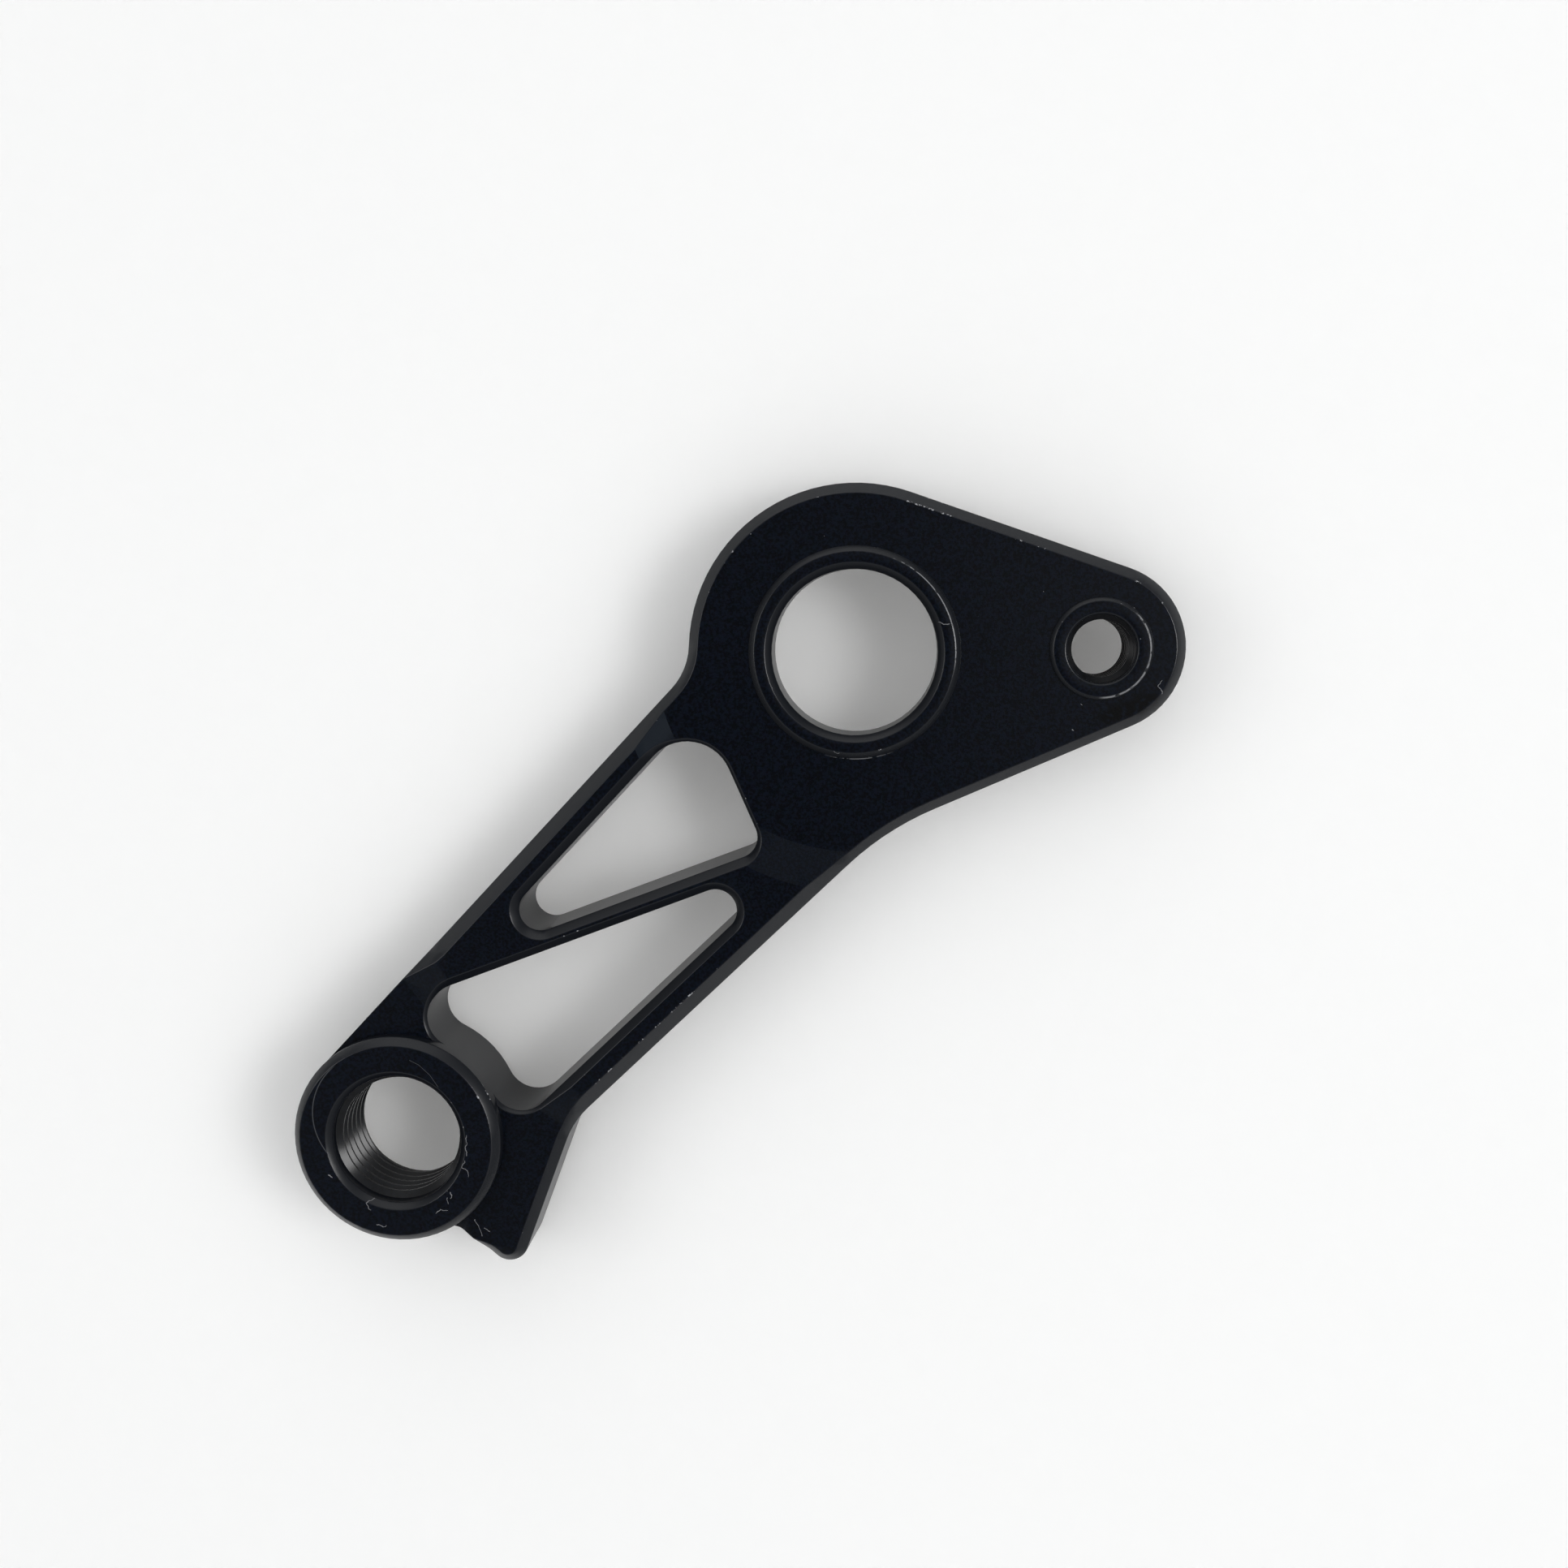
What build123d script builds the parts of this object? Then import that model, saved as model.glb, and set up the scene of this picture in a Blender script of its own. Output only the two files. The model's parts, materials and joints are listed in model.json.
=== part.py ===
import math
import os

from build123d import *

# Axle end: the bore takes the wheel axle and is the origin, underside at zero height.
axle_bore_diameter = 12.1
axle_bore_chamfer = 0.5
axle_collar_wall = 1.7
axle_collar_diameter = axle_bore_diameter + 2 * axle_collar_wall
axle_collar_rise = 0.45
axle_collar_chamfer = 0.4
hub_seat_ledge = 3.65
hub_seat_diameter = axle_bore_diameter + 2 * hub_seat_ledge
hub_seat_depth = 3.0
hub_seat_chamfer = 0.4
axle_lobe_wall = 2.56
axle_lobe_radius = hub_seat_diameter / 2 + axle_lobe_wall

# Frame fixing screw, straight along X from the axle.
fixing_spacing = 17.83
fixing_hole_diameter = 5.0
fixing_hole_chamfer = 0.12
fixing_boss_wall = 1.22
fixing_boss_diameter = fixing_hole_diameter + 2 * fixing_boss_wall
fixing_boss_rise = 0.35
fixing_boss_chamfer = 0.25
fixing_lobe_ledge = 2.4
fixing_lobe_radius = fixing_boss_diameter / 2 + fixing_lobe_ledge

# Derailleur boss at the far end of the arm, standing above the plate.
plate_height = 6.5
hole_spacing = 51.0
arm_angle = -134.1
derailleur_hole_diameter = 10.0
derailleur_hole_chamfer = 0.45
boss_wall = 3.05
boss_diameter = derailleur_hole_diameter + 2 * boss_wall
boss_rise = 1.4
boss_height = plate_height + boss_rise
boss_chamfer = 0.58

# Raised pad along the arm, between two arcs about the axle.
pad_rise = 0.35
pad_start_gap = 2.44
pad_start_radius = axle_lobe_radius + pad_start_gap
pad_end_gap = 8.6
pad_end_radius = hole_spacing - pad_end_gap
pad_ramp_length = 3.0
pad_sector = 60.0

# Plan of the arm, measured along and across the line from axle to boss.
shoulder_clearance = 0.72
right_edge_at_axle = 11.13
right_edge_at_boss = 8.43
neck_radius_left = 4.85
neck_radius_right = 22.0

# Stop tab beside the boss.
tab_root_gap = 10.0
tab_root_along = hole_spacing - tab_root_gap
tab_back_offset = 2.2
tab_tip_across = 14.1
tab_tip_radius = 1.5
tab_root_radius = 7.0
tab_boss_radius = 1.2

# Two windows and the rails left round them.
window_chamfer = 0.6
left_rail_width = 2.45
right_rail_width = 2.75
boss_rail_width = 2.7
boss_window_flat = 0.87
web_flat = 0.26
web_width = 2 * window_chamfer + web_flat
web_corner_gap = 2.94
web_corner_along = axle_lobe_radius + web_corner_gap
web_corner_across = 5.15
window_head_angle = 67.0
window_head_radius = 3.4
window_corner_radius = 1.6
window_boss_radius = 2.4

# Broken edges: the cutter follows the outline and leaves it beside the boss.
edge_chamfer = 1.08
run_out_gap = 12.7
run_out_along = hole_spacing - run_out_gap
run_out_angle = 13.0
run_out_radius = 8.0
tab_run_out_angle = 25.0
tab_run_out_radius = 2.0
tab_run_out_gap = 0.15
run_out_clearance = 1.6
underside_chamfer = 0.4
skin = 0.05

# Points and heights that follow from the sizes above.
boss_radius = boss_diameter / 2
pad_height = plate_height + pad_rise
turn = math.radians(arm_angle)
fixing_centre = (fixing_spacing * math.cos(turn), -fixing_spacing * math.sin(turn))
right_edge_angle = math.degrees(math.atan2(right_edge_at_boss - right_edge_at_axle, hole_spacing))
tab_back_along = hole_spacing + tab_back_offset
boss_x = hole_spacing * math.cos(turn)
boss_y = hole_spacing * math.sin(turn)
collar_height = plate_height + axle_collar_rise
fixing_height = plate_height + fixing_boss_rise
half_height = plate_height / 2
bevel_foot = pad_height - edge_chamfer
bevel_rise = edge_chamfer + skin
arm_plane = Plane(origin=(0, 0, 0), x_dir=(math.cos(turn), math.sin(turn), 0), z_dir=(0, 0, 1))
sector_turn = turn - math.radians(pad_sector)
sector_plane = Plane(
    origin=(0, 0, 0),
    x_dir=(math.cos(sector_turn), math.sin(sector_turn), 0),
    z_dir=(math.sin(sector_turn), -math.cos(sector_turn), 0),
)


def step(point, angle, length):
    swing = math.radians(angle)
    return (point[0] + length * math.cos(swing), point[1] + length * math.sin(swing))


def crossing(first, first_angle, second, second_angle):
    a = math.radians(first_angle)
    b = math.radians(second_angle)
    gap_along = second[0] - first[0]
    gap_across = second[1] - first[1]
    reach = (gap_along * math.sin(b) - gap_across * math.cos(b)) / math.sin(b - a)
    return step(first, first_angle, reach)


def meet_boss(point, angle):
    swing = math.radians(angle)
    gap = hole_spacing - point[0]
    reach = gap * math.cos(swing) - point[1] * math.sin(swing)
    miss = gap * math.sin(swing) + point[1] * math.cos(swing)
    return step(point, angle, reach - math.sqrt(boss_radius**2 - miss**2))


def nearest(corners, point):
    return corners.sort_by_distance((point[0], point[1], 0))[0]


def rim(radius, height):
    circles = hanger.edges().filter_by(GeomType.CIRCLE)
    level = circles.filter_by(lambda edge: abs(edge.arc_center.Z - height) < 0.001)
    return level.filter_by(lambda edge: abs(edge.radius - radius) < 0.001)


right_edge = (0, right_edge_at_axle)
low_radius = axle_lobe_radius + shoulder_clearance
low_swing = math.degrees(math.acos((low_radius - fixing_lobe_radius) / fixing_spacing))
low_normal = -arm_angle - low_swing
fixing_low_tangent = step(fixing_centre, low_normal, fixing_lobe_radius)
shoulder = crossing(fixing_low_tangent, low_normal - 90, right_edge, right_edge_angle)
shoulder_along = shoulder[0]
tab_root = crossing(right_edge, right_edge_angle, (tab_root_along, 0), 90)
head_swing = math.degrees(math.acos((axle_lobe_radius - fixing_lobe_radius) / fixing_spacing))
fixing_high_tangent = step(fixing_centre, head_swing - arm_angle, fixing_lobe_radius)
axle_tangent = step((0, 0), head_swing - arm_angle, axle_lobe_radius)
neck_corner = (math.sqrt(axle_lobe_radius**2 - boss_radius**2), -boss_radius)
tab_tip = (tab_back_along, tab_tip_across)
tab_corner = (tab_back_along, math.sqrt(boss_radius**2 - tab_back_offset**2))

left_rail = (0, left_rail_width - boss_radius)
boss_rail = (0, boss_rail_width - boss_radius)
right_rail = step(right_edge, right_edge_angle - 90, right_rail_width)
web_corner = (web_corner_along, web_corner_across)
boss_round_rise = boss_rail[1] + window_boss_radius
boss_round_reach = math.sqrt((boss_radius + window_boss_radius) ** 2 - boss_round_rise**2)
left_rail_corner = (hole_spacing - boss_round_reach - boss_window_flat, boss_rail[1])
web_sight = math.degrees(
    math.atan2(left_rail_corner[1] - web_corner[1], left_rail_corner[0] - web_corner[0])
)
web_angle = web_sight - math.degrees(math.asin(web_width / math.dist(web_corner, left_rail_corner)))
window_head_corner = crossing(web_corner, window_head_angle, left_rail, 0)
window_rail_corner = crossing(web_corner, web_angle, left_rail, 0)
window_tip = crossing(left_rail_corner, web_angle, right_rail, right_edge_angle)
left_rail_end = (hole_spacing, boss_rail[1])
right_rail_end = crossing(right_rail, right_edge_angle, (hole_spacing, 0), 90)
left_boss_corner = meet_boss(boss_rail, 0)
right_boss_corner = meet_boss(right_rail, right_edge_angle)

run_out = (run_out_along, -boss_radius)
run_out_end = crossing(run_out, -run_out_angle, (hole_spacing, 0), 90)
tab_tip_angle = math.atan2(tab_back_along - tab_root[0], tab_tip_across - tab_root[1])
tab_tip_touch = tab_tip_across - tab_tip_radius / math.tan(tab_tip_angle / 2)
tab_run_out_touch = tab_run_out_radius * math.tan(math.radians(tab_run_out_angle) / 2)
tab_run_out_across = tab_tip_touch - tab_run_out_gap - tab_run_out_touch
tab_run_out = (tab_back_along, tab_run_out_across)
tab_run_out_end = crossing(tab_run_out, tab_run_out_angle - 90, (0, 0), 0)

with BuildSketch(arm_plane) as outline:
    Circle(axle_lobe_radius)
    with Locations(fixing_centre):
        Circle(fixing_lobe_radius)
    with BuildLine():
        Polyline(
            (0, 0),
            shoulder,
            fixing_low_tangent,
            fixing_centre,
            fixing_high_tangent,
            axle_tangent,
            close=True,
        )
    make_face()
    with BuildLine():
        Polyline(
            (0, 0),
            (0, -boss_radius),
            (hole_spacing, -boss_radius),
            (hole_spacing, 0),
            (tab_back_along, 0),
            tab_tip,
            tab_root,
            shoulder,
            close=True,
        )
    make_face()
    with Locations((hole_spacing, 0)):
        Circle(boss_radius)
    fillet(nearest(outline.vertices(), neck_corner), neck_radius_left)
    fillet(nearest(outline.vertices(), shoulder), neck_radius_right)
    fillet(nearest(outline.vertices(), tab_root), tab_root_radius)
    fillet(nearest(outline.vertices(), tab_tip), tab_tip_radius)
    fillet(nearest(outline.vertices(), tab_corner), tab_boss_radius)

with BuildSketch(arm_plane) as upper_window:
    with BuildLine():
        Polyline(window_head_corner, web_corner, window_rail_corner, close=True)
    make_face()
    fillet(nearest(upper_window.vertices(), window_head_corner), window_head_radius)
    fillet(nearest(upper_window.vertices(), web_corner), window_corner_radius)
    fillet(nearest(upper_window.vertices(), window_rail_corner), window_corner_radius)

with BuildSketch(arm_plane) as lower_window:
    with BuildLine():
        Polyline(window_tip, right_rail_end, left_rail_end, left_rail_corner, close=True)
    make_face()
    with Locations((hole_spacing, 0)):
        Circle(boss_radius, mode=Mode.SUBTRACT)
    fillet(nearest(lower_window.vertices(), window_tip), window_corner_radius)
    fillet(nearest(lower_window.vertices(), right_boss_corner), window_boss_radius)
    fillet(nearest(lower_window.vertices(), left_boss_corner), window_boss_radius)
    fillet(nearest(lower_window.vertices(), left_rail_corner), window_boss_radius)

# Block with its outer top edge bevelled all round; the bevel leaves the outline before the boss.
with BuildPart() as edge_form:
    with BuildSketch(arm_plane) as cutter_path:
        add(outline.sketch_local)
        with BuildLine():
            Polyline(run_out, run_out_end, (hole_spacing, 0), (run_out_along, 0), close=True)
        make_face()
        with BuildLine():
            Polyline(tab_run_out, tab_run_out_end, (hole_spacing, 0), close=True)
        make_face()
        with Locations((hole_spacing, 0)):
            Circle(boss_radius + run_out_clearance)
        fillet(nearest(cutter_path.vertices(), run_out), run_out_radius)
        fillet(nearest(cutter_path.vertices(), tab_run_out), tab_run_out_radius)
    extrude(amount=bevel_foot)
    with BuildSketch(arm_plane.offset(bevel_foot)):
        add(cutter_path.sketch_local)
    extrude(amount=bevel_rise, taper=45)

# Block with the levels: the plate, and the pad that ramps up between two arcs about the axle.
with BuildPart() as level_form:
    Cylinder(2 * hole_spacing, plate_height, align=(Align.CENTER, Align.CENTER, Align.MIN))
    with BuildSketch(sector_plane):
        with BuildLine():
            Polyline(
                (pad_start_radius, half_height),
                (pad_start_radius, plate_height),
                (pad_start_radius + pad_ramp_length, pad_height),
                (pad_end_radius - pad_ramp_length, pad_height),
                (pad_end_radius, plate_height),
                (pad_end_radius, half_height),
                close=True,
            )
        make_face()
    revolve(axis=Axis.Z, revolution_arc=2 * pad_sector)

with BuildPart() as hanger:
    with BuildSketch(arm_plane):
        add(outline.sketch_local)
        add(upper_window.sketch_local, mode=Mode.SUBTRACT)
        add(lower_window.sketch_local, mode=Mode.SUBTRACT)
    extrude(amount=pad_height + skin)
    window_rims = hanger.faces().sort_by(Axis.Z)[-1].inner_wires()
    chamfer([edge for wire in window_rims for edge in wire.edges()], window_chamfer + skin)
    chamfer(hanger.faces().sort_by(Axis.Z)[0].edges(), underside_chamfer)
    add(edge_form.part, mode=Mode.INTERSECT)
    add(level_form.part, mode=Mode.INTERSECT)

    # Raised derailleur boss, axle collar and fixing boss.
    with BuildSketch(Plane(origin=(boss_x, boss_y, half_height))):
        Circle(boss_radius)
    extrude(amount=boss_height - half_height)
    chamfer(rim(boss_radius, boss_height), boss_chamfer)
    with BuildSketch(Plane.XY.offset(half_height)):
        Circle(axle_collar_diameter / 2)
    extrude(amount=collar_height - half_height)
    chamfer(rim(axle_collar_diameter / 2, collar_height), axle_collar_chamfer)
    with BuildSketch(Plane(origin=(fixing_spacing, 0, half_height))):
        Circle(fixing_boss_diameter / 2)
    extrude(amount=fixing_height - half_height)
    chamfer(rim(fixing_boss_diameter / 2, fixing_height), fixing_boss_chamfer)

    # Seat for the hub in the underside, then the three holes.
    with BuildSketch(Plane.XY):
        Circle(hub_seat_diameter / 2)
    extrude(amount=hub_seat_depth, mode=Mode.SUBTRACT)
    chamfer(rim(hub_seat_diameter / 2, 0), hub_seat_chamfer)
    Hole(axle_bore_diameter / 2)
    chamfer(rim(axle_bore_diameter / 2, collar_height), axle_bore_chamfer)
    with Locations((boss_x, boss_y)):
        Hole(derailleur_hole_diameter / 2)
    chamfer(rim(derailleur_hole_diameter / 2, boss_height), derailleur_hole_chamfer)
    chamfer(rim(derailleur_hole_diameter / 2, 0), derailleur_hole_chamfer)
    with Locations((fixing_spacing, 0)):
        Hole(fixing_hole_diameter / 2)
    chamfer(rim(fixing_hole_diameter / 2, fixing_height), fixing_hole_chamfer)
    chamfer(rim(fixing_hole_diameter / 2, 0), fixing_hole_chamfer)

hanger.part.label = "hanger"
os.makedirs("parts", exist_ok=True)
export_step(hanger.part, "parts/hanger.step")
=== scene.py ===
import json
import math

import bmesh
import bpy
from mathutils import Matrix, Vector

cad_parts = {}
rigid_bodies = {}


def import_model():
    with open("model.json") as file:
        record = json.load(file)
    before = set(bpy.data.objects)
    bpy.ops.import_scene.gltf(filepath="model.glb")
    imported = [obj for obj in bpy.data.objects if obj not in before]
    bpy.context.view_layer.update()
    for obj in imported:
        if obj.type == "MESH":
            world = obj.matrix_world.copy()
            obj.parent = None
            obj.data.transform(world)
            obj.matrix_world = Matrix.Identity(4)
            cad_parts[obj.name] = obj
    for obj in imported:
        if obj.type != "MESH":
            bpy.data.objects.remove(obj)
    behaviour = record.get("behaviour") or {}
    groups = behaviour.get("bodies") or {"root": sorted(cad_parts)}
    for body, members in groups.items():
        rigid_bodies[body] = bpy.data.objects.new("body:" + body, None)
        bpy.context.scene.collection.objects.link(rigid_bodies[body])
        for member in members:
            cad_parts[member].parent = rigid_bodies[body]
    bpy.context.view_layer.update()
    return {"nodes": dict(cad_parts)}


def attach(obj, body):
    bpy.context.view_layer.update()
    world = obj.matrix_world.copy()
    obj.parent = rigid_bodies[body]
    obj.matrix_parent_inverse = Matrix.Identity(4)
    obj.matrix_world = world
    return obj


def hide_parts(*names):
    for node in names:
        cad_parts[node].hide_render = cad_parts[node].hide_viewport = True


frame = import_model()
mm = 0.001
print("frame loaded:", sorted(frame["nodes"]))


def addPiece(name, data):
    piece = bpy.data.objects.new(name, data)
    bpy.context.scene.collection.objects.link(piece)
    return piece


def addSocket(tree, name, socketType, isOutput=False, value=None):
    direction = "OUTPUT" if isOutput else "INPUT"
    socket = tree.interface.new_socket(name, in_out=direction, socket_type=socketType)
    if value is not None:
        socket.default_value = value


def plug(tree, value, socket):
    if isinstance(value, bpy.types.NodeSocket):
        tree.links.new(value, socket)
    else:
        socket.default_value = value


def addNode(tree, kind, inputs=None, **settings):
    node = tree.nodes.new(kind)
    for key, value in settings.items():
        setattr(node, key, value)
    for key, value in (inputs or {}).items():
        plug(tree, value, node.inputs[key])
    return node


def mathNode(tree, operation, *values, clamp=False):
    inputs = dict(enumerate(values))
    return addNode(tree, "ShaderNodeMath", inputs, operation=operation, use_clamp=clamp).outputs[0]


def vectorNode(tree, operation, *values):
    node = addNode(tree, "ShaderNodeVectorMath", dict(enumerate(values)), operation=operation)
    isValue = operation in ("DOT_PRODUCT", "LENGTH", "DISTANCE")
    return node.outputs["Value" if isValue else "Vector"]


def scaleNode(tree, vector, factor):
    inputs = {0: vector, "Scale": factor}
    return addNode(tree, "ShaderNodeVectorMath", inputs, operation="SCALE").outputs["Vector"]


def rangeNode(tree, value, low, high, lowOut=0.0, highOut=1.0):
    inputs = {"Value": value, "From Min": low, "From Max": high}
    inputs.update({"To Min": lowOut, "To Max": highOut})
    return addNode(tree, "ShaderNodeMapRange", inputs, interpolation_type="SMOOTHSTEP").outputs[0]


def noiseNode(tree, point, scale, detail=2.0, roughness=0.5):
    inputs = {"Vector": point, "Scale": scale, "Detail": detail, "Roughness": roughness}
    return addNode(tree, "ShaderNodeTexNoise", inputs).outputs


def mixColour(tree, factor, first, second, blend="MIX"):
    inputs = {0: factor, 6: first, 7: second}  # the Mix node's colour sockets
    return addNode(tree, "ShaderNodeMix", inputs, data_type="RGBA", blend_type=blend).outputs[2]


def newGroup(name, inputs, outputs):
    tree = bpy.data.node_groups.new(name, "ShaderNodeTree")
    for label, (socketType, value) in inputs.items():
        addSocket(tree, label, socketType, value=value)
    for label, socketType in outputs.items():
        addSocket(tree, label, socketType, isOutput=True)
    source = tree.nodes.new("NodeGroupInput")
    sink = tree.nodes.new("NodeGroupOutput")
    return tree, source.outputs, sink.inputs


def useGroup(tree, group, **inputs):
    node = tree.nodes.new("ShaderNodeGroup")
    node.node_tree = group
    for key, value in inputs.items():
        plug(tree, value, node.inputs[key])
    return node.outputs


def newMaterial(name):
    material = bpy.data.materials.new(name)
    material.use_nodes = True
    tree = material.node_tree
    return material, tree, tree.nodes["Principled BSDF"]


def surfacePoint(tree):  # place on the piece, in millimetres
    place = addNode(tree, "ShaderNodeTexCoord").outputs["Object"]
    return scaleNode(tree, place, 1 / mm)


# camera
cameraSet = {
    "location": (3.63129 * mm, 5.41288 * mm, 128.08885 * mm),
    "turn": (-7.0979, 4.0793, -1.0706),
    "lens": 38.1988,
    "sensor": 36.0,
    "clip": (0.005, 20.0),
}
cameraData = bpy.data.cameras.new("camera")
cameraData.lens = cameraSet["lens"]
cameraData.sensor_width = cameraSet["sensor"]
cameraData.clip_start, cameraData.clip_end = cameraSet["clip"]
camera = addPiece("camera", cameraData)
camera.location = cameraSet["location"]
camera.rotation_euler = [math.radians(angle) for angle in cameraSet["turn"]]
bpy.context.scene.camera = camera
print("camera set")

# shared surface effects, all in millimetres
strokeSet = {"core": 0.25}  # share of the width that is solid


def makeStrokeGroup(settings):
    inputs = {
        "Point": ("NodeSocketVector", (0, 0, 0)),
        "Start": ("NodeSocketVector", (0, 0, 0)),
        "End": ("NodeSocketVector", (1, 0, 0)),
        "Width": ("NodeSocketFloat", 0.05),
    }
    tree, source, sink = newGroup("strokeMask", inputs, {"Mask": "NodeSocketFloat"})
    flat = vectorNode(tree, "MULTIPLY", source["Point"], (1, 1, 0))
    reach = vectorNode(tree, "SUBTRACT", flat, source["Start"])
    course = vectorNode(tree, "SUBTRACT", source["End"], source["Start"])
    along = vectorNode(tree, "DOT_PRODUCT", reach, course)
    whole = vectorNode(tree, "DOT_PRODUCT", course, course)
    share = mathNode(tree, "DIVIDE", along, whole, clamp=True)
    away = vectorNode(tree, "DISTANCE", reach, scaleNode(tree, course, share))
    inner = mathNode(tree, "MULTIPLY", source["Width"], settings["core"])
    tree.links.new(rangeNode(tree, away, inner, source["Width"], 1.0, 0.0), sink["Mask"])
    return tree


arcSet = {"core": 0.25, "fade": 0.12}


def makeArcGroup(settings):
    inputs = {
        "Point": ("NodeSocketVector", (0, 0, 0)),
        "Centre": ("NodeSocketVector", (0, 0, 0)),
        "Toward": ("NodeSocketVector", (1, 0, 0)),
        "Radius": ("NodeSocketFloat", 1.0),
        "Reach": ("NodeSocketFloat", 0.7),
        "Width": ("NodeSocketFloat", 0.05),
    }
    tree, source, sink = newGroup("arcMask", inputs, {"Mask": "NodeSocketFloat"})
    flat = vectorNode(tree, "MULTIPLY", source["Point"], (1, 1, 0))
    spoke = vectorNode(tree, "SUBTRACT", flat, source["Centre"])
    off = mathNode(tree, "SUBTRACT", vectorNode(tree, "LENGTH", spoke), source["Radius"])
    off = mathNode(tree, "ABSOLUTE", off)
    inner = mathNode(tree, "MULTIPLY", source["Width"], settings["core"])
    ring = rangeNode(tree, off, inner, source["Width"], 1.0, 0.0)
    spoke = vectorNode(tree, "NORMALIZE", spoke)
    facing = vectorNode(tree, "DOT_PRODUCT", spoke, source["Toward"])
    full = mathNode(tree, "ADD", source["Reach"], settings["fade"])
    shown = rangeNode(tree, facing, source["Reach"], full)
    tree.links.new(mathNode(tree, "MULTIPLY", ring, shown), sink["Mask"])
    return tree


grainSet = {
    "fineness": 5.0,
    "detail": 3.0,
    "roughness": 0.6,
    "speckle": (0.40, 0.60),
    "coarseness": 0.42,  # the tint's scale beside the grain's
    "patch": (0.38, 0.50),
}


def makeGrainGroup(settings):
    inputs = {
        "Point": ("NodeSocketVector", (0, 0, 0)),
        "Fineness": ("NodeSocketFloat", settings["fineness"]),
    }
    outputs = {
        "Height": "NodeSocketFloat",
        "Speckle": "NodeSocketFloat",
        "Patch": "NodeSocketFloat",
        "Tint": "NodeSocketColor",
    }
    tree, source, sink = newGroup("blastGrain", inputs, outputs)
    detail, roughness = settings["detail"], settings["roughness"]
    fine = noiseNode(tree, source["Point"], source["Fineness"], detail, roughness)
    tree.links.new(fine["Fac"], sink["Height"])
    tree.links.new(rangeNode(tree, fine["Fac"], *settings["speckle"]), sink["Speckle"])
    coarse = mathNode(tree, "MULTIPLY", source["Fineness"], settings["coarseness"])
    tint = noiseNode(tree, source["Point"], coarse)
    tree.links.new(tint["Color"], sink["Tint"])
    tree.links.new(rangeNode(tree, tint["Fac"], *settings["patch"]), sink["Patch"])
    return tree


nickSet = {
    "spots": {"scale": 2.6, "detail": 4.0, "roughness": 0.7},
    "patches": {"scale": 0.16, "detail": 1.0},
    "crowding": (0.42, 0.62, 0.10, -0.02),  # nicks come more easily in some patches
    "fade": 0.05,
    "rub": (0.35, 0.70),
}


def makeNickGroup(settings):
    inputs = {
        "Point": ("NodeSocketVector", (0, 0, 0)),
        "Edge": ("NodeSocketFloat", 0.0),
        "Threshold": ("NodeSocketFloat", 0.6),
    }
    outputs = {"Mask": "NodeSocketFloat", "Rub": "NodeSocketFloat"}
    tree, source, sink = newGroup("edgeNicks", inputs, outputs)
    spots = noiseNode(tree, source["Point"], **settings["spots"])["Fac"]
    patches = noiseNode(tree, source["Point"], **settings["patches"])["Fac"]
    uneven = rangeNode(tree, patches, *settings["crowding"])
    limit = mathNode(tree, "ADD", source["Threshold"], uneven)
    top = mathNode(tree, "ADD", limit, settings["fade"])
    nick = rangeNode(tree, spots, limit, top)
    tree.links.new(mathNode(tree, "MULTIPLY", nick, source["Edge"]), sink["Mask"])
    rub = rangeNode(tree, patches, *settings["rub"])
    tree.links.new(mathNode(tree, "MULTIPLY", rub, source["Edge"]), sink["Rub"])
    return tree


dustSet = {"spread": 0.55, "rarity": 0.80, "size": 0.035, "fade": 0.012}


def makeDustGroup(settings):
    inputs = {
        "Point": ("NodeSocketVector", (0, 0, 0)),
        "Spread": ("NodeSocketFloat", settings["spread"]),
    }
    tree, source, sink = newGroup("dustSpecks", inputs, {"Mask": "NodeSocketFloat"})
    spread = {"Vector": source["Point"], "Scale": source["Spread"]}
    cells = addNode(tree, "ShaderNodeTexVoronoi", spread).outputs
    chance = addNode(tree, "ShaderNodeSeparateColor", {0: cells["Color"]}).outputs[0]
    size = rangeNode(tree, chance, settings["rarity"], 1.0, 0.0, settings["size"])
    outer = mathNode(tree, "ADD", size, settings["fade"])
    speck = rangeNode(tree, cells["Distance"], size, outer, 1.0, 0.0)
    shown = mathNode(tree, "GREATER_THAN", chance, settings["rarity"])
    tree.links.new(mathNode(tree, "MULTIPLY", speck, shown), sink["Mask"])
    return tree


strokeMask = makeStrokeGroup(strokeSet)
arcMask = makeArcGroup(arcSet)
blastGrain = makeGrainGroup(grainSet)
edgeNicks = makeNickGroup(nickSet)
dustSpecks = makeDustGroup(dustSet)
print("surface effects made")

# hanger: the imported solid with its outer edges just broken, as tumbled anodised parts have them
hangerSet = {
    "node": "hanger",
    "weld": 0.03 * mm,
    "smallest": 1e-6,
    "flatAngle": math.radians(0.2),  # faces that meet flatter than this become one
    "sharpAngle": math.radians(18.0),  # steeper than the facets of the round walls
    "rampAngle": math.radians(2.0),  # lines where the raised pad runs down to the arm
    "rampLevel": 0.97,
    "edgeWidth": 0.06 * mm,
    "edgeSegments": 2,
    "edgeProfile": 0.5,
    "knotGap": 0.25 * mm,
}


def turnOf(edge):
    return edge.calc_face_angle_signed(0) if edge.is_manifold else 0.0


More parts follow.
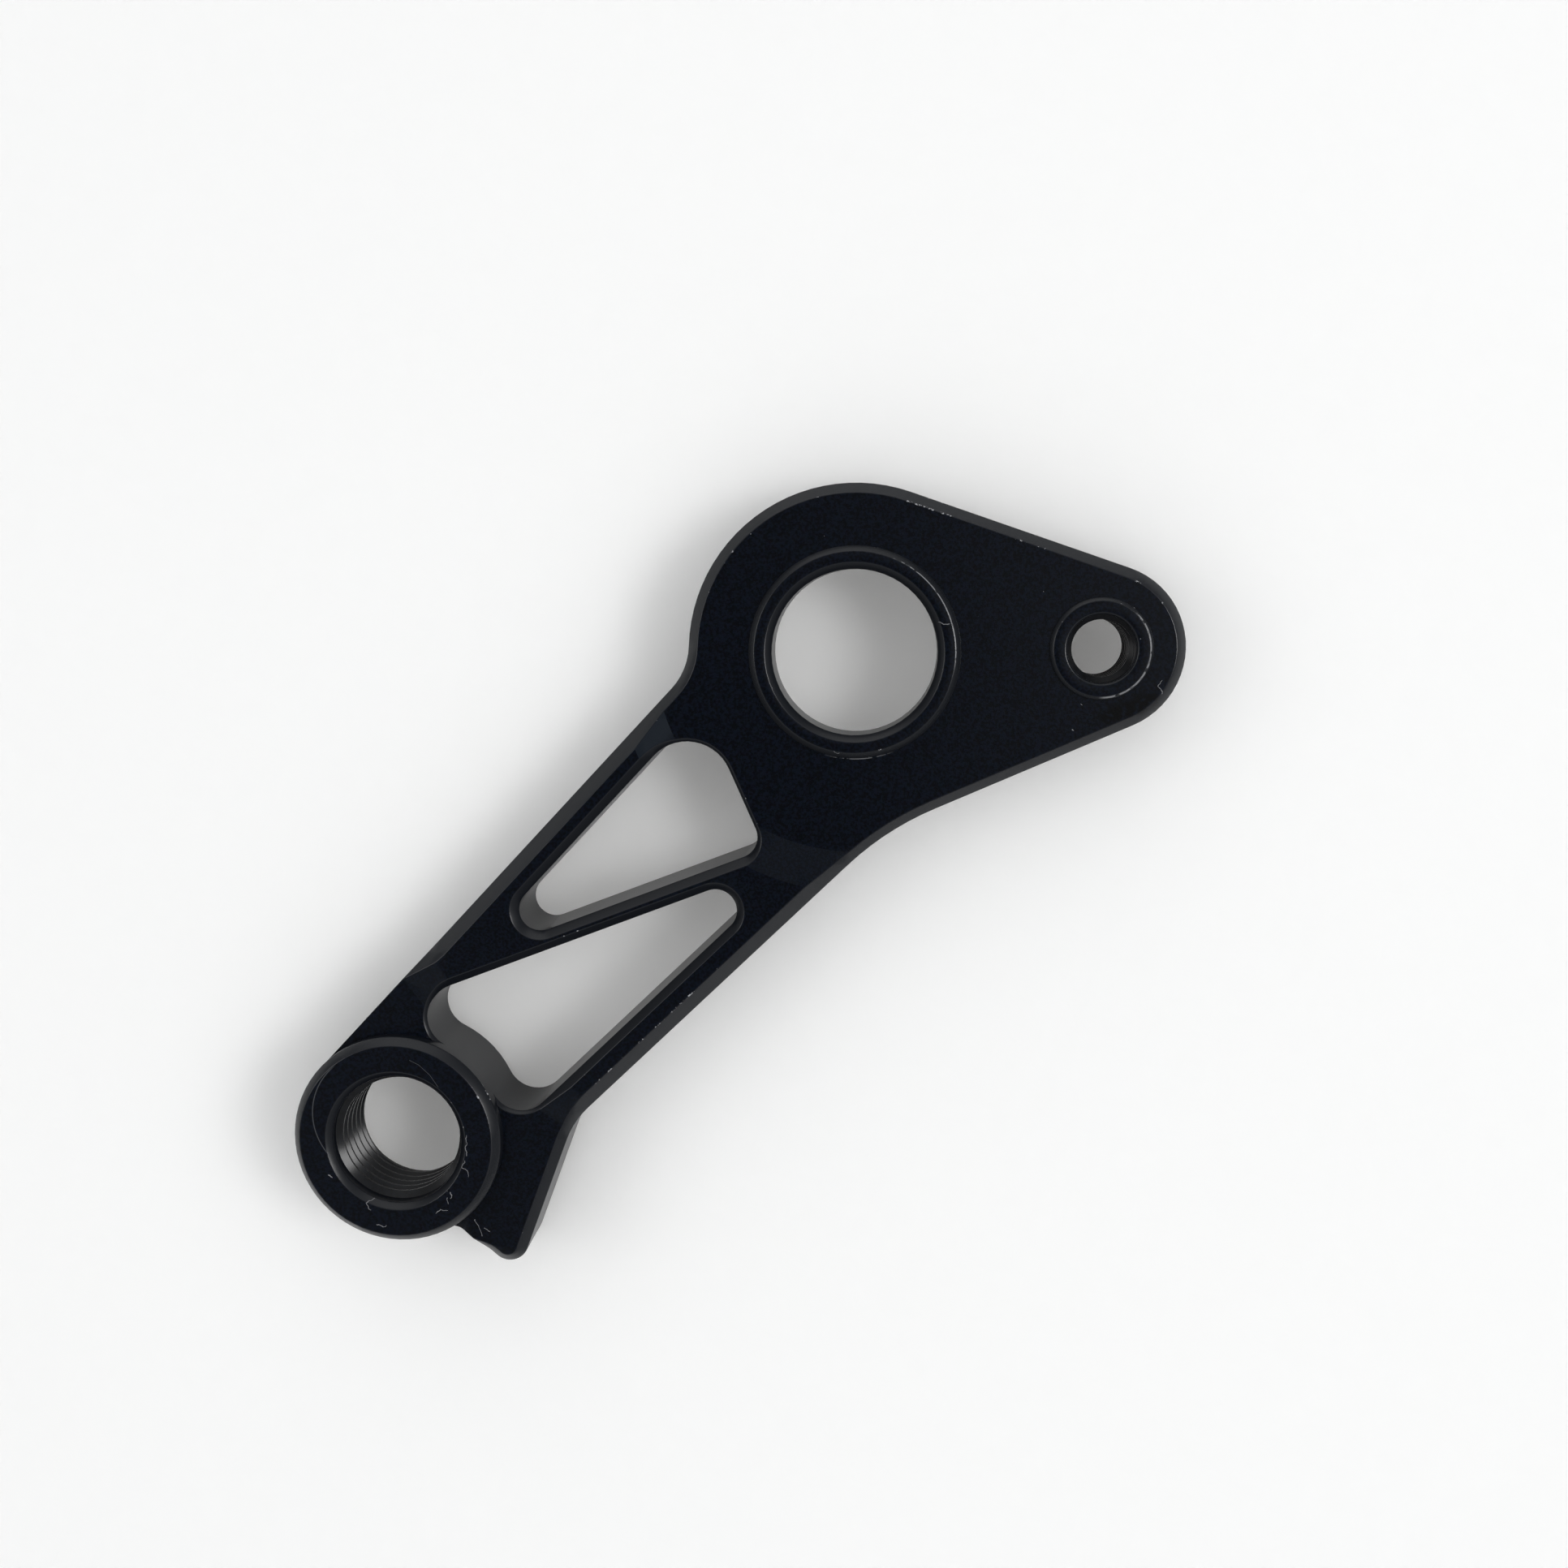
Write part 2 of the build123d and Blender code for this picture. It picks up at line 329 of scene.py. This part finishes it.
def makeHanger(settings):
    form = bmesh.new()
    form.from_mesh(frame["nodes"][settings["node"]].data)
    edgeBand = form.faces.layers.float.new("edgeBand")
    slope = form.faces.layers.float.new("slope")
    bmesh.ops.remove_doubles(form, verts=form.verts, dist=settings["weld"])
    bmesh.ops.dissolve_degenerate(form, edges=form.edges, dist=settings["smallest"])
    flatAngle, limit = settings["flatAngle"], settings["sharpAngle"]
    bmesh.ops.dissolve_limit(form, angle_limit=flatAngle, verts=form.verts, edges=form.edges)
    outer = [edge for edge in form.edges if turnOf(edge) > limit]
    inner = [edge for edge in form.edges if turnOf(edge) < -limit]
    knots = {vert for edge in inner for vert in edge.verts}  # ends of inner corners stay unbroken
    for edge in outer:
        for vert in knots.intersection(edge.verts):
            if edge.calc_length() > 2 * settings["knotGap"]:
                bmesh.utils.edge_split(edge, vert, settings["knotGap"] / edge.calc_length())
    form.normal_update()
    sharp = [edge for edge in form.edges if turnOf(edge) > limit]
    broken = bmesh.ops.bevel(
        form,
        geom=[edge for edge in sharp if not knots.intersection(edge.verts)],
        offset=settings["edgeWidth"],
        offset_type="OFFSET",
        segments=settings["edgeSegments"],
        profile=settings["edgeProfile"],
        affect="EDGES",
        clamp_overlap=False,
        loop_slide=True,
    )
    form.normal_update()
    for face in form.faces:
        face[slope] = face.normal.z
        face.smooth = True
    for face in broken["faces"]:
        face[edgeBand] = 1.0
    for edge in form.edges:
        if edge.is_manifold and not any(face[edgeBand] > 0.5 for face in edge.link_faces):
            level = min(abs(face.normal.z) for face in edge.link_faces)
            crease = settings["rampAngle"] if level > settings["rampLevel"] else limit
            edge.smooth = edge.calc_face_angle(0) < crease
    bmesh.ops.triangulate(form, faces=form.faces, quad_method="BEAUTY", ngon_method="BEAUTY")
    mesh = bpy.data.meshes.new("hangerBody")
    form.to_mesh(mesh)
    form.free()
    piece = addPiece("hangerBody", mesh)
    weighted = piece.modifiers.new("weighted", "WEIGHTED_NORMAL")
    weighted.mode = "FACE_AREA"
    weighted.keep_sharp = True
    return piece


hangerBody = makeHanger(hangerSet)
print("hanger body:", len(hangerBody.data.polygons), "faces")

# black anodised finish and the marks of handling on it
finishSet = {
    "face": (0.0001, 0.0006, 0.0020, 1),
    "faceLight": (0.0018, 0.0036, 0.0086, 1),
    # chamfer colour, lighter than the faces: partly painted sheen that stands in for the light the
    # chamfers reflect
    "bevel": (0.0050, 0.0062, 0.0090, 1),
    "tint": 0.0018,
    # painted sheen on the pad's ramps, lighter where their tilt would catch more light
    "paintedRampSheen": (0.0095, 0.0130, 0.0185, 1),
    "paintedRampSheenShare": 0.2,  # painted sheen: all ramps of the pad are a little lighter
    "rubbed": (0.008, 0.009, 0.012, 1),
    # bare-metal colour of the real nicks, also used for the painted glints on the rims
    "nickedAndGlint": (0.36, 0.365, 0.38, 1),
    "nickThreshold": 0.66,
    "paintedGlintShare": 0.6,
    "dust": (0.20, 0.20, 0.21, 1),
    "dustRoughness": 0.4,
    # darker colour for a strip along the lower foot of the small boss
    "darkBelowBoss": (0.0005, 0.0006, 0.0010, 1),
    "scratch": (0.055, 0.057, 0.062, 1),
    "scratchGloss": 0.12,
    "faceRoughness": 0.24,
    "bevelRoughness": 0.31,
    "faceGrain": 0.14,
    "bevelGrain": 0.049,
    "grainDepth": 0.05 * mm,
    "sheen": 0.30,
    "upSlope": (0.5, 0.7),  # height of a face's normal: faces and bevels that look up
    "flatSlope": (0.95, 0.985),  # faces alone
    "rampSlope": (0.9955, 0.9985),  # below the upper end, a face is a ramp
}
wearSet = {
    "width": 0.9,
    "threshold": -0.15,
    "courses": [
        [(-10.40, -23.35), (-19.94, -32.20)],
        [(-29.0, -32.0), (-28.4, -33.0)],
        [(4.2, 11.0), (14.0, 7.4)],
        [(-33.4, -24.6), (-34.6, -26.2)],
    ],
}
fibreSet = {
    "width": 0.036,
    "waveScale": 1.6,
    "wave": (0.7, 0.7, 0),
    "courses": [
        [(-29.97, -36.23), (-29.91, -36.81), (-30.0, -37.61)],
        [(-30.11, -38.09), (-30.24, -38.63), (-30.05, -38.85), (-29.96, -39.4)],
        [(-31.62, -40.54), (-31.58, -40.54)],
        [(-31.32, -40.69), (-31.41, -41.05)],
        [(-31.63, -41.13), (-31.57, -41.42)],
        [(-32.53, -42.31), (-32.17, -41.94), (-31.66, -42.11)],
        [(-37.88, -41.45), (-37.81, -41.77), (-37.68, -42.07)],
        [(-37.88, -41.48), (-37.33, -41.33)],
        [(-37.21, -43.32), (-36.64, -43.46), (-36.56, -43.31)],
        [(-40.87, -39.3), (-40.49, -39.49)],
        [(-30.01, -43.44), (-29.67, -43.88), (-29.45, -44.55)],
        [(-29.24, -44.02), (-28.81, -44.36)],
        [(6.11, 2.07), (6.91, 1.93)],
        [(-1.51, -7.2), (-1.21, -7.38)],
        [(22.04, -2.32), (21.87, -2.73), (22.22, -3.32)],
        [(13.62, 4.23), (13.65, 4.23)],
        [(16.48, -4.07), (16.53, -4.10)],
        [(15.79, -5.77), (15.83, -5.79)],
        [(20.51, 0.68), (20.53, 0.70)],
    ],
}
fixingCentre = (17.83, 0, 0)
axleCentre = (0, 0, 0)
paintedGlintSet = [  # painted glints: rims lighter on the one side where highlights fall
    {"Centre": fixingCentre, "Toward": (0.60, -0.80, 0), "Radius": 3.52, "Reach": 0.74, "Width": 0.10},
    {"Centre": fixingCentre, "Toward": (0.97, 0.24, 0), "Radius": 3.50, "Reach": 0.80, "Width": 0.06},
    {"Centre": axleCentre, "Toward": (0.88, 0.47, 0), "Radius": 7.36, "Reach": 0.76, "Width": 0.05},
    {"Centre": axleCentre, "Toward": (0.03, -1.0, 0), "Radius": 7.80, "Reach": 0.93, "Width": 0.05},
]
scratchSet = {
    "width": 0.03,
    "courses": [[(-34.06, -30.25), (-33.37, -30.61), (-32.55, -31.4), (-31.95, -32.33)]],
    "arc": {
        "Centre": (-36.9, -34.6, 0),
        "Toward": (-0.995, 0.10, 0),
        "Radius": 4.92,
        "Reach": 0.66,
        "Width": 0.06,
    },
}
# painted sheen, strongest across the neck ramp
paintedRampSheenSet = {"width": 2.4, "courses": [[(-16.18, -6.94), (-13.90, -4.17)]]}
# a darker strip along the lower foot of the small boss
darkBelowBossSet = {"width": 0.95, "courses": [[(18.3, -4.85), (19.6, -4.45), (21.3, -3.75)]]}


def strokeSum(tree, point, settings):
    total = None
    for course in settings["courses"]:
        for start, end in zip(course, course[1:]):
            ends = {"Start": (*start, 0), "End": (*end, 0)}
            mask = useGroup(tree, strokeMask, Point=point, Width=settings["width"], **ends)["Mask"]
            total = mask if total is None else mathNode(tree, "MAXIMUM", total, mask)
    return total


def makeFinish(settings):
    material, tree, shader = newMaterial("anodisedBlack")
    point = surfacePoint(tree)
    slope = addNode(tree, "ShaderNodeAttribute", attribute_name="slope").outputs["Fac"]
    edge = addNode(tree, "ShaderNodeAttribute", attribute_name="edgeBand").outputs["Fac"]
    flat = rangeNode(tree, slope, *settings["flatSlope"])
    upward = rangeNode(tree, slope, *settings["upSlope"])

    grain = useGroup(tree, blastGrain, Point=point)
    ground = mixColour(tree, grain["Speckle"], settings["face"], settings["faceLight"])
    ground = mixColour(tree, settings["tint"], ground, grain["Tint"], "ADD")
    # painted sheen: ramp faces lighter, most at the neck ramp
    ramp = rangeNode(tree, slope, *settings["rampSlope"], 1.0, 0.0)
    paintedRampSheenMask = mathNode(tree, "MAXIMUM", strokeSum(tree, point, paintedRampSheenSet), settings["paintedRampSheenShare"])
    paintedRampSheenMask = mathNode(tree, "MULTIPLY", paintedRampSheenMask, ramp)
    ground = mixColour(tree, paintedRampSheenMask, ground, settings["paintedRampSheen"])
    # chamfers take the bevel colour, which carries painted sheen
    colour = mixColour(tree, flat, settings["bevel"], ground)

    # darker along the lower foot of the small boss
    darkBelowBoss = mathNode(tree, "MULTIPLY", strokeSum(tree, point, darkBelowBossSet), grain["Patch"])
    colour = mixColour(tree, darkBelowBoss, colour, settings["darkBelowBoss"])

    worn = mathNode(tree, "MULTIPLY", strokeSum(tree, point, wearSet), wearSet["threshold"])
    threshold = mathNode(tree, "ADD", worn, settings["nickThreshold"])
    nicks = useGroup(tree, edgeNicks, Point=point, Edge=edge, Threshold=threshold)
    colour = mixColour(tree, nicks["Rub"], colour, settings["rubbed"])
    nickAndGlintMask = nicks["Mask"]
    # painted glints: rim arcs drawn in the bare-metal colour on the side where highlights fall
    for arc in paintedGlintSet:
        paintedGlint = useGroup(tree, arcMask, Point=point, **arc)["Mask"]
        paintedGlint = mathNode(tree, "MULTIPLY", mathNode(tree, "MULTIPLY", paintedGlint, grain["Patch"]), upward)
        paintedGlint = mathNode(tree, "MULTIPLY", paintedGlint, settings["paintedGlintShare"])
        nickAndGlintMask = mathNode(tree, "MAXIMUM", nickAndGlintMask, paintedGlint)
    colour = mixColour(tree, nickAndGlintMask, colour, settings["nickedAndGlint"])

    arc = useGroup(tree, arcMask, Point=point, **scratchSet["arc"])["Mask"]
    scratch = mathNode(tree, "MAXIMUM", strokeSum(tree, point, scratchSet), arc)
    scratch = mathNode(tree, "MULTIPLY", scratch, upward)
    colour = mixColour(tree, scratch, colour, settings["scratch"])

    drift = noiseNode(tree, point, fibreSet["waveScale"])["Color"]
    drift = vectorNode(tree, "SUBTRACT", drift, (0.5, 0.5, 0.5))
    drift = vectorNode(tree, "MULTIPLY", drift, fibreSet["wave"])
    fibres = strokeSum(tree, vectorNode(tree, "ADD", point, drift), fibreSet)
    specks = useGroup(tree, dustSpecks, Point=point)["Mask"]
    lint = mathNode(tree, "MULTIPLY", mathNode(tree, "MAXIMUM", fibres, specks), upward)
    colour = mixColour(tree, lint, colour, settings["dust"])
    tree.links.new(colour, shader.inputs["Base Color"])

    roughness = (settings["bevelRoughness"], settings["faceRoughness"])
    rough = rangeNode(tree, slope, *settings["flatSlope"], *roughness)
    dull = mathNode(tree, "MULTIPLY", lint, settings["dustRoughness"])
    gloss = mathNode(tree, "MULTIPLY", scratch, settings["scratchGloss"])
    rough = mathNode(tree, "SUBTRACT", mathNode(tree, "ADD", rough, dull), gloss)
    tree.links.new(rough, shader.inputs["Roughness"])
    shader.inputs["Specular IOR Level"].default_value = settings["sheen"]
    heights = (settings["bevelGrain"], settings["faceGrain"])
    relief = rangeNode(tree, slope, *settings["flatSlope"], *heights)
    bump = addNode(tree, "ShaderNodeBump", {"Height": grain["Height"], "Strength": relief})
    bump.inputs["Distance"].default_value = settings["grainDepth"]
    tree.links.new(bump.outputs["Normal"], shader.inputs["Normal"])
    return material


anodisedBlack = makeFinish(finishSet)
hangerBody.data.materials.append(anodisedBlack)
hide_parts("hanger")
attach(hangerBody, "root")
print("finish set")

# threads: one ridge wound up each hole's wall, sinking into the wall at both ends
threadFinishSet = {
    "dark": (0.0004, 0.0007, 0.0014, 1),
    "light": (0.0026, 0.0033, 0.0052, 1),
    "fineness": 2.2,
}
ridgeSet = {
    "stepsPerTurn": 72,
    "fade": 0.6,  # turns over which an end sinks
    "sink": 1.1,  # how far it sinks, in depths
    "seat": 0.46,  # middle of the ridge above the wall, in depths
    "softAngle": 0.4,
}
derailleurThreadSet = {
    "name": "derailleurThread",
    "base": (-35.4918 * mm, -36.6244 * mm, 0.88 * mm),
    "wall": 5.0 * mm,
    "pitch": 1.0 * mm,
    "turns": 6.1,
    "depth": 0.50 * mm,
    "crest": 0.22 * mm,
    "root": 0.86 * mm,
    "roughness": 0.22,
    "sheen": 0.24,
}
fixingThreadSet = {
    "name": "fixingThread",
    "base": (17.83 * mm, 0.0, 0.46 * mm),
    "wall": 2.5 * mm,
    "pitch": 0.8 * mm,
    "turns": 7.3,
    "depth": 0.42 * mm,
    "crest": 0.17 * mm,
    "root": 0.68 * mm,
    "roughness": 0.30,
    "sheen": 0.14,
}


def makeThreadFinish(settings, thread):
    material, tree, shader = newMaterial(thread["name"] + "Black")
    point = surfacePoint(tree)
    grain = useGroup(tree, blastGrain, Point=point, Fineness=settings["fineness"])
    colour = mixColour(tree, grain["Speckle"], settings["dark"], settings["light"])
    tree.links.new(colour, shader.inputs["Base Color"])
    shader.inputs["Roughness"].default_value = thread["roughness"]
    shader.inputs["Specular IOR Level"].default_value = thread["sheen"]
    return material


def makeThreadTree(settings):
    tree = bpy.data.node_groups.new("threadRidge", "GeometryNodeTree")
    for label in ("Wall", "Pitch", "Turns", "Depth", "Crest", "Root", "Fade"):
        addSocket(tree, label, "NodeSocketFloat")
    addSocket(tree, "Base", "NodeSocketVector")
    addSocket(tree, "Material", "NodeSocketMaterial")
    addSocket(tree, "Geometry", "NodeSocketGeometry", isOutput=True)
    source = tree.nodes.new("NodeGroupInput").outputs
    sink = tree.nodes.new("NodeGroupOutput").inputs

    # the path, pushed out into the wall near both ends
    winding = {
        "Resolution": settings["stepsPerTurn"],
        "Rotations": source["Turns"],
        "Start Radius": source["Wall"],
        "End Radius": source["Wall"],
        "Height": mathNode(tree, "MULTIPLY", source["Pitch"], source["Turns"]),
    }
    spiral = addNode(tree, "GeometryNodeCurveSpiral", winding).outputs[0]
    factor = addNode(tree, "GeometryNodeSplineParameter").outputs["Factor"]
    wound = mathNode(tree, "MULTIPLY", factor, source["Turns"])
    left = mathNode(tree, "SUBTRACT", source["Turns"], wound)
    nearEnd = mathNode(tree, "MINIMUM", wound, left)
    sunk = rangeNode(tree, nearEnd, 0.0, source["Fade"], settings["sink"], 0.0)
    push = mathNode(tree, "MULTIPLY", sunk, source["Depth"])
    spot = addNode(tree, "GeometryNodeInputPosition").outputs[0]
    outward = vectorNode(tree, "NORMALIZE", vectorNode(tree, "MULTIPLY", spot, (1, 1, 0)))
    shifted = {"Geometry": spiral, "Offset": scaleNode(tree, outward, push)}
    path = addNode(tree, "GeometryNodeSetPosition", shifted).outputs[0]
    path = addNode(tree, "GeometryNodeSetCurveNormal", {"Curve": path}, mode="Z_UP").outputs[0]

    # the ridge's section, its crest toward the hole's middle
    section = {
        "Height": source["Depth"],
        "Bottom Width": source["Root"],
        "Top Width": source["Crest"],
        "Offset": 0.0,
    }
    profile = addNode(tree, "GeometryNodeCurvePrimitiveQuadrilateral", section, mode="TRAPEZOID")
    lift = mathNode(tree, "MULTIPLY", source["Depth"], settings["seat"])
    placing = {
        "Geometry": profile.outputs[0],
        "Translation": addNode(tree, "ShaderNodeCombineXYZ", {"X": lift}).outputs[0],
        "Rotation": (0, 0, -math.pi / 2),
    }
    profile = addNode(tree, "GeometryNodeTransform", placing).outputs[0]

    sweep = {"Curve": path, "Profile Curve": profile, "Fill Caps": True}
    ridge = addNode(tree, "GeometryNodeCurveToMesh", sweep).outputs[0]
    angle = addNode(tree, "GeometryNodeInputMeshEdgeAngle").outputs["Unsigned Angle"]
    angles = {0: angle, 1: settings["softAngle"]}
    gentle = addNode(tree, "FunctionNodeCompare", angles, operation="LESS_THAN").outputs[0]
    shading = {"Geometry": ridge, "Shade Smooth": gentle}
    ridge = addNode(tree, "GeometryNodeSetShadeSmooth", shading, domain="EDGE").outputs[0]
    based = {"Geometry": ridge, "Translation": source["Base"]}
    ridge = addNode(tree, "GeometryNodeTransform", based).outputs[0]
    ridge = addNode(tree, "GeometryNodeRealizeInstances", {"Geometry": ridge}).outputs[0]
    coat = {"Geometry": ridge, "Material": source["Material"]}
    ridge = addNode(tree, "GeometryNodeSetMaterial", coat).outputs[0]
    tree.links.new(ridge, sink["Geometry"])
    return tree


def makeThread(settings, tree, material):
    piece = addPiece(settings["name"], bpy.data.meshes.new(settings["name"]))
    wind = piece.modifiers.new("wind", "NODES")
    wind.node_group = tree
    sockets = [item for item in tree.interface.items_tree if item.in_out == "INPUT"]
    keys = {item.name: item.identifier for item in sockets}
    for label in ("wall", "pitch", "turns", "depth", "crest", "root"):
        wind[keys[label.capitalize()]] = settings[label]
    wind[keys["Fade"]] = ridgeSet["fade"]
    wind[keys["Base"]] = settings["base"]
    wind[keys["Material"]] = material
    graph = bpy.context.evaluated_depsgraph_get()
    mesh = bpy.data.meshes.new_from_object(piece.evaluated_get(graph), depsgraph=graph)
    piece.modifiers.remove(wind)
    piece.data = mesh
    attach(piece, "root")
    return piece


threadRidge = makeThreadTree(ridgeSet)
threadPieces = []
for thread in (derailleurThreadSet, fixingThreadSet):
    threadFinish = makeThreadFinish(threadFinishSet, thread)
    threadPieces.append(makeThread(thread, threadRidge, threadFinish))
print("threads wound:", [len(piece.data.polygons) for piece in threadPieces], "faces")

# pale table
floorSet = {
    "size": 3.0,
    "colour": (0.86, 0.86, 0.855, 1),
    "roughness": 0.9,
    "gloss": 0.1,
    "scatter": 14.0 * mm,
    "glow": (1, 0.99, 0.97, 1),
    "glowLevel": 0.15,  # keeps it pale in the part's shade, and lights nothing
}
half = floorSet["size"] / 2
corners = [(-half, -half, 0), (half, -half, 0), (half, half, 0), (-half, half, 0)]
floorMesh = bpy.data.meshes.new("floor")
floorMesh.from_pydata(corners, [], [(0, 1, 2, 3)])
floor = addPiece("floor", floorMesh)
paleTable, floorTree, floorShader = newMaterial("paleTable")
floorShader.subsurface_method = "BURLEY"
rays = addNode(floorTree, "ShaderNodeLightPath").outputs
seen = mathNode(floorTree, "MAXIMUM", rays["Is Camera Ray"], rays["Is Glossy Ray"])
seen = mathNode(floorTree, "MAXIMUM", seen, rays["Is Transmission Ray"])
floorValues = {
    "Base Color": floorSet["colour"],
    "Roughness": floorSet["roughness"],
    "Specular IOR Level": floorSet["gloss"],
    "Subsurface Weight": 1.0,
    "Subsurface Radius": (1, 1, 1),
    "Subsurface Scale": floorSet["scatter"],
    "Emission Color": floorSet["glow"],
    "Emission Strength": mathNode(floorTree, "MULTIPLY", seen, floorSet["glowLevel"]),
}
for key, value in floorValues.items():
    plug(floorTree, value, floorShader.inputs[key])
floorMesh.materials.append(paleTable)

# soft light from all sides, dim straight above
lightSet = {
    "axis": (-0.10, -0.11, 0.989),
    "levels": [  # grey of the sky, from the horizon up to the axis
        (0.0, 0.30),
        (0.30, 0.50),
        (0.60, 0.86),
        (0.76, 0.68),
        (0.88, 0.22),
        (0.96, 0.16),
        (0.985, 0.10),
        (1.0, 0.0),
    ],
    "tint": (0.97, 0.985, 1.0),
    "strength": 0.85,
    "glows": [  # a wide one low behind the part, and a small one that its head mirrors
        {"axis": (-0.09, 0.98, 0.17), "reach": (0.72, 0.97), "level": 1.1},
        {"axis": (0.15, -0.02, 0.988), "reach": (0.988, 0.997), "level": 0.26},
    ],
    "aim": (-0.01, -0.015, 0),
    "lamps": [
        {"name": "keyLamp", "at": (1.30, 0.10, 1.36), "size": 0.72, "power": 17.8},
        {"name": "fillLamp", "at": (-1.52, 0.20, 1.24), "size": 1.0, "power": 6.0},
    ],
}
world = bpy.data.worlds.new("studio")
world.use_nodes = True
worldTree = world.node_tree
heading = addNode(worldTree, "ShaderNodeTexCoord").outputs["Generated"]
heading = vectorNode(worldTree, "NORMALIZE", heading)
rise = vectorNode(worldTree, "DOT_PRODUCT", heading, lightSet["axis"])
sky = addNode(worldTree, "ShaderNodeValToRGB", {0: rise})
stops = sky.color_ramp.elements
while len(stops) < len(lightSet["levels"]):
    stops.new(0.5)
for stop, (position, grey) in zip(stops, lightSet["levels"]):
    stop.position = position
    stop.color = (*(grey * share for share in lightSet["tint"]), 1)
light = sky.outputs[0]
for glow in lightSet["glows"]:
    toward = vectorNode(worldTree, "DOT_PRODUCT", heading, glow["axis"])
    patch = rangeNode(worldTree, toward, *glow["reach"], 0.0, glow["level"])
    light = mixColour(worldTree, 1.0, light, patch, "ADD")
background = worldTree.nodes["Background"]
worldTree.links.new(light, background.inputs["Color"])
background.inputs["Strength"].default_value = lightSet["strength"]
bpy.context.scene.world = world
for lamp in lightSet["lamps"]:
    lampData = bpy.data.lights.new(lamp["name"], "AREA")
    lampData.shape = "DISK"
    lampData.size = lamp["size"]
    lampData.energy = lamp["power"]
    lampObject = addPiece(lamp["name"], lampData)
    lampObject.location = lamp["at"]
    aim = Vector(lightSet["aim"]) - Vector(lamp["at"])
    lampObject.rotation_euler = aim.to_track_quat("-Z", "Y").to_euler()
bpy.context.scene.view_settings.view_transform = "Standard"
print("light and floor set")
